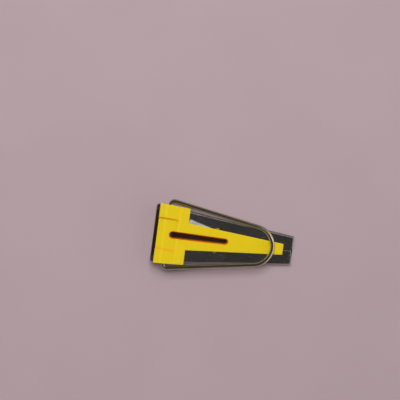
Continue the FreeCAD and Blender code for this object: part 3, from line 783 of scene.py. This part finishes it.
def height_at(points, x):
    """Height at x of the line through the points, and of its end points beyond it."""
    if not points:
        raise RuntimeError("The sunk middle of the guide wasn't found")
    for (left, low), (right, high) in zip(points, points[1:]):
        if left <= x <= right and right > left:
            return low + (high - low) * (x - left) / (right - left)
    return points[0][1] if x < points[0][0] else points[-1][1]


def lean(shape, horn, guide):
    """Leans the walls of the slot inwards towards the underside, and those of the sunk middle outwards."""
    first, last = guide.slot_start + guide.slot_front / 2, guide.slot_end - guide.slot_rear / 2
    narrowing = (guide.slot_rear - guide.slot_front) / (last - first)
    for vertex in shape.verts:
        x, y, z = vertex.co
        x += horn.long / 2
        middle = min(max(x, first), last)
        half_width = (guide.slot_front + narrowing * (middle - first)) / 2
        out = Vector((x - middle, y, 0))
        if abs(out.length - half_width) < BY_WALL and z < guide.under + BY_WALL:
            vertex.co -= out.normalized() * guide.draft
    foot = foot_of_recess(shape, horn, guide)
    for vertex in shape.verts:
        x, y, z = vertex.co
        side = abs(y) - guide.recess_half
        if x + horn.long / 2 < guide.recess_end + BY_END and -BY_END < side < RIM_REACH:
            above = z - height_at(foot, x)
            if above > ON_LINE:
                vertex.co.y += math.copysign(guide.recess_slope * min(1.0, above / guide.recess_depth), y)


def mark_free_edges(shape, horn, guide):
    """Gives a bevel weight to the long turned edges, but for those beside the sunk middle."""
    weight = shape.edges.layers.float.new("bevel_weight_edge")
    for edge in shape.edges:
        ends = [vertex.co for vertex in edge.verts]
        beside = min(abs(abs(end.y) - guide.recess_half) for end in ends) < KEEP_OFF
        before = min(end.x for end in ends) + horn.long / 2 < guide.recess_end
        turned = edge.calc_face_angle(0.0) > GUIDE_EDGE
        if turned and edge.calc_length() > guide.straight and not (beside and before):
            edge[weight] = 1.0


class TAPEFOLDER_OT_guide(bpy.types.Operator):
    """Leans the moulding's hollow walls and rounds its edges, in place of the CAD solid"""

    bl_idname = "tape_folder.guide"
    bl_label = "Mould the strip guide"

    def execute(self, context):
        scene = context.scene
        horn, sizes = scene.horn_sizes, scene.guide_sizes

        def build(shape):
            shape.from_mesh(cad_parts["strip_guide"].data)
            bmesh.ops.remove_doubles(shape, verts=shape.verts, dist=WELD)
            lean(shape, horn, sizes)
            bmesh.ops.dissolve_limit(shape, angle_limit=ONE_FACE, verts=shape.verts, edges=shape.edges)
            for face in shape.faces:
                face.smooth = True
            mark_free_edges(shape, horn, sizes)

        blank = new_object("guide_blank", mesh_from("guide_blank", build))
        blank.data.materials.append(yellow_plastic(scene.finishes, horn, sizes, *shared_groups()))
        add_bevel(blank, "Moulded rims", sizes.rim, "WEIGHT")
        rounded = settle(blank, "guide_rounded")
        clean(rounded.data, flat=ONE_FACE / 2)
        rounded.data.set_sharp_from_angle(angle=SHARP_EDGE)
        even = rounded.modifiers.new("Even shading", "WEIGHTED_NORMAL")
        even.weight, even.mode, even.keep_sharp = 100, "FACE_AREA", True
        guide = settle(rounded, "moulded_guide")
        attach(guide, "folder")
        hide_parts("strip_guide")
        return {"FINISHED"}


# The handle


def arc(centre, start, end, radius):
    """Points from start to end, both left out, on the shorter arc round centre."""
    first, last = start - centre, end - centre
    turn = first.angle_signed(last)
    count = max(2, round(abs(turn) / ARC_STEP))
    points = []
    for index in range(1, count):
        angle = math.atan2(first.y, first.x) - turn * index / count
        points.append(centre + radius * Vector((math.cos(angle), math.sin(angle))))
    return points


def handle_path(sizes):
    """One half of the wire's middle line, in its own plane, from the pin's end to the loop's far point."""
    centre = Vector((sizes.reach - sizes.loop, 0))
    slope = math.atan2(sizes.span, centre.x) - math.asin(sizes.loop / math.hypot(centre.x, sizes.span))
    set_back = sizes.bend * math.tan((math.pi / 2 + slope) / 2)
    along, outward = Vector((math.cos(slope), -math.sin(slope))), Vector((math.sin(slope), math.cos(slope)))
    corner = Vector((0, sizes.span))
    bend_start, bend_end = corner - Vector((0, set_back)), corner + along * set_back
    loop_start, far = centre + outward * sizes.loop, centre + Vector((sizes.loop, 0))
    pin = Vector((0, sizes.pin))
    points = [pin + (bend_start - pin) * share for share in PIN_POINTS]
    points += arc(bend_start + Vector((sizes.bend, 0)), bend_start, bend_end, sizes.bend)
    points += [bend_end.lerp(loop_start, step / LEG_STEPS) for step in range(LEG_STEPS + 1)]
    points += arc(centre, loop_start, far, sizes.loop)
    return points + [far]


def wire_tree(sizes, material):
    """Sweeps a circle along the path, rounds its two ends and notes each point's place on the wire."""
    tree, path, size, identifiers = geometry_tree("Swept wire", sizes, ("wire", "burr"))
    whole = Field(tree, add_node(tree, "GeometryNodeSplineLength").outputs["Length"])
    run = Field(tree, add_node(tree, "GeometryNodeSplineParameter").outputs["Length"])
    short = -((run.least(whole - run) / size["burr"]).clamp()) + 1.0
    shrink = (-(short * short * END_ROUNDING) + 1.0).apply("SQRT")
    radius = add_node(tree, "GeometryNodeSetCurveRadius")
    tree.links.new(path, radius.inputs["Curve"])
    feed(tree, radius.inputs["Radius"], shrink * size["wire"] * 0.5)
    ring = add_node(tree, "GeometryNodeCurvePrimitiveCircle")
    ring.inputs["Resolution"].default_value = WIRE_SIDES
    ring.inputs["Radius"].default_value = 1.0
    turn = Field(tree, add_node(tree, "GeometryNodeSplineParameter").outputs["Factor"]) * math.tau
    sweep = add_node(tree, "GeometryNodeCurveToMesh")
    sweep.inputs["Fill Caps"].default_value = True
    tree.links.new(note(tree, radius.outputs[0], "run", run / MM), sweep.inputs["Curve"])
    tree.links.new(note(tree, ring.outputs["Curve"], "turn", turn), sweep.inputs["Profile Curve"])
    tree.links.new(add_node(tree, "GeometryNodeInputRadius").outputs[0], sweep.inputs["Scale"])
    named = []
    for name in ("run", "turn"):
        read = add_node(tree, "GeometryNodeInputNamedAttribute", data_type="FLOAT")
        read.inputs["Name"].default_value = name
        named.append(Field(tree, read.outputs["Attribute"]))
    along, angle = named
    place = join(tree, along, angle.apply("COSINE"), angle.apply("SINE"))
    finish_tree(tree, note(tree, sweep.outputs[0], "wire_place", place, "FLOAT_VECTOR"), material)
    return tree, identifiers


class TAPEFOLDER_OT_handle(bpy.types.Operator):
    """Bends the wire handle along its path, in place of the CAD solid"""

    bl_idname = "tape_folder.handle"
    bl_label = "Bend the handle"

    def execute(self, context):
        scene = context.scene
        sizes = scene.handle_sizes
        half = handle_path(sizes)
        points = half + [Vector((p.x, -p.y)) for p in reversed(half[:-1])]
        curve = bpy.data.curves.new("handle_path", "CURVE")
        curve.dimensions = "3D"
        spline = curve.splines.new("POLY")
        spline.points.add(len(points) - 1)
        pivot = Vector((sizes.pivot_distance - scene.horn_sizes.long / 2, 0, sizes.pivot_height))
        tilt = math.asin(sizes.rise / sizes.reach)
        for point, (along, across) in zip(spline.points, points):
            spot = pivot + Vector((along * math.cos(tilt), across, along * math.sin(tilt)))
            point.co = (*spot, 1)
        path = new_object("handle_path", curve)
        tree, identifiers = wire_tree(sizes, nickel_wire(scene.finishes, *shared_groups()))
        grow(path, tree, identifiers, sizes)
        handle = settle(path, "bent_wire")
        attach(handle, "handle")
        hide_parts("wire_handle")
        return {"FINISHED"}


# The stage


def area_lamp(name, place, size, power):
    """A square lamp that points at the origin and isn't mirrored."""
    lamp = bpy.data.lights.new(name, "AREA")
    lamp.shape, lamp.size, lamp.energy = "SQUARE", size, power
    obj = new_object(name, lamp)
    obj.location = place
    obj.rotation_euler = (-Vector(place)).to_track_quat("-Z", "Y").to_euler()
    obj.visible_glossy = False


def studio_world(levels):
    """Dark overhead, as flat nickel mirrors it, with a narrow window, a warm low band and a bright end."""
    world = bpy.data.worlds.new("Studio")
    bpy.context.scene.world = world
    world.use_nodes = True
    tree = world.node_tree
    sky = tree.nodes["Background"]
    direction = add_node(tree, "ShaderNodeTexCoord").outputs["Generated"]
    x, y, z = split(tree, direction)
    aside = y - x * WINDOW_TILT
    window = ramp(aside, *WINDOW_STARTS) * (-(ramp(aside, *WINDOW_ENDS) * WINDOW_DROP) + 1.0)
    window = window * ramp(z, *WINDOW_LOW) * ramp(x, *WINDOW_TIP)
    low_band = ramp(-z, *BAND_HIGH) * ramp(z, *BAND_LOW)
    beyond_tip = ramp(x, *BRIGHT_END) * ramp(z, *HORIZON)
    cloud = noise(tree, direction, CLOUD_SCALE, detail=2.0)
    strength = window * levels.window + low_band * levels.low_band + beyond_tip * levels.beyond_tip
    strength = strength + cloud * levels.cloud + levels.overhead
    seen = Field(tree, add_node(tree, "ShaderNodeLightPath").outputs["Is Camera Ray"])
    feed(tree, sky.inputs["Strength"], strength * (-seen + 1.0) + seen * BACKDROP)
    feed(tree, sky.inputs["Color"], mix_colour(tree, low_band, DAYLIGHT, WARM))


def floor_material(tint):
    """A plain matt floor, hardly clouded."""
    material, tree, shader = new_material("Floor")
    cloud = noise(tree, object_point(tree), 0.02, detail=2.0)
    base = (*tint, 1.0)
    shade = (*(0.97 * c for c in tint), 1.0)
    feed(tree, shader.inputs["Base Color"], mix_colour(tree, ramp(cloud, 0.3, 0.7), base, shade))
    shader.inputs["Roughness"].default_value = 0.7
    shader.inputs["Specular IOR Level"].default_value = 0.2
    return material


class TAPEFOLDER_OT_stage(bpy.types.Operator):
    """Sets the floor, the light and the camera"""

    bl_idname = "tape_folder.stage"
    bl_label = "Set the stage"

    def execute(self, context):
        scene = context.scene
        settings = scene.stage_settings

        def build(shape):
            bmesh.ops.create_grid(shape, x_segments=1, y_segments=1, size=FLOOR_HALF)

        mesh = mesh_from("floor", build)
        mesh.materials.append(floor_material(settings.floor))
        new_object("floor", mesh)
        studio_world(settings)
        area_lamp("Window", LAMP_PLACE, LAMP_SIZE, settings.lamp)
        lens = bpy.data.cameras.new("Camera")
        lens.sensor_width = 36.0
        lens.lens = lens.sensor_width * settings.distance / settings.frame_width
        camera = new_object("Camera", lens)
        camera.location = (*VIEW_CENTRE, settings.distance)
        camera.rotation_euler = (0, 0, settings.turn)
        scene.camera = camera
        scene.view_settings.view_transform = "Standard"
        return {"FINISHED"}


# Sidebar and start


class TAPEFOLDER_PT_sidebar(bpy.types.Panel):
    """Sizes, colours and build steps of the tape folder"""

    bl_idname = "TAPEFOLDER_PT_sidebar"
    bl_label = "Tape Folder"
    bl_space_type = "VIEW_3D"
    bl_region_type = "UI"
    bl_category = "Tape Folder"

    def draw(self, context):
        for operator in OPERATORS:
            self.layout.operator(operator.bl_idname)
        for name, group in GROUPS.items():
            box = self.layout.box()
            box.label(text=group.__doc__)
            for key in group.__annotations__:
                box.prop(getattr(context.scene, name), key)


OPERATORS = (TAPEFOLDER_OT_stage, TAPEFOLDER_OT_horn, TAPEFOLDER_OT_guide, TAPEFOLDER_OT_handle)
GROUPS = {
    "horn_sizes": HornSizes,
    "guide_sizes": GuideSizes,
    "handle_sizes": HandleSizes,
    "finishes": Finishes,
    "stage_settings": StageSettings,
}


def register():
    for cls in (*GROUPS.values(), *OPERATORS, TAPEFOLDER_PT_sidebar):
        bpy.utils.register_class(cls)
    for name, group in GROUPS.items():
        setattr(bpy.types.Scene, name, PointerProperty(type=group))


def unregister():
    for name in GROUPS:
        delattr(bpy.types.Scene, name)
    for cls in (TAPEFOLDER_PT_sidebar, *reversed(OPERATORS), *reversed(GROUPS.values())):
        bpy.utils.unregister_class(cls)


def main():
    register()
    bpy.ops.tape_folder.stage()
    bpy.ops.tape_folder.horn()
    bpy.ops.tape_folder.guide()
    bpy.ops.tape_folder.handle()


if __name__ == "__main__":
    main()
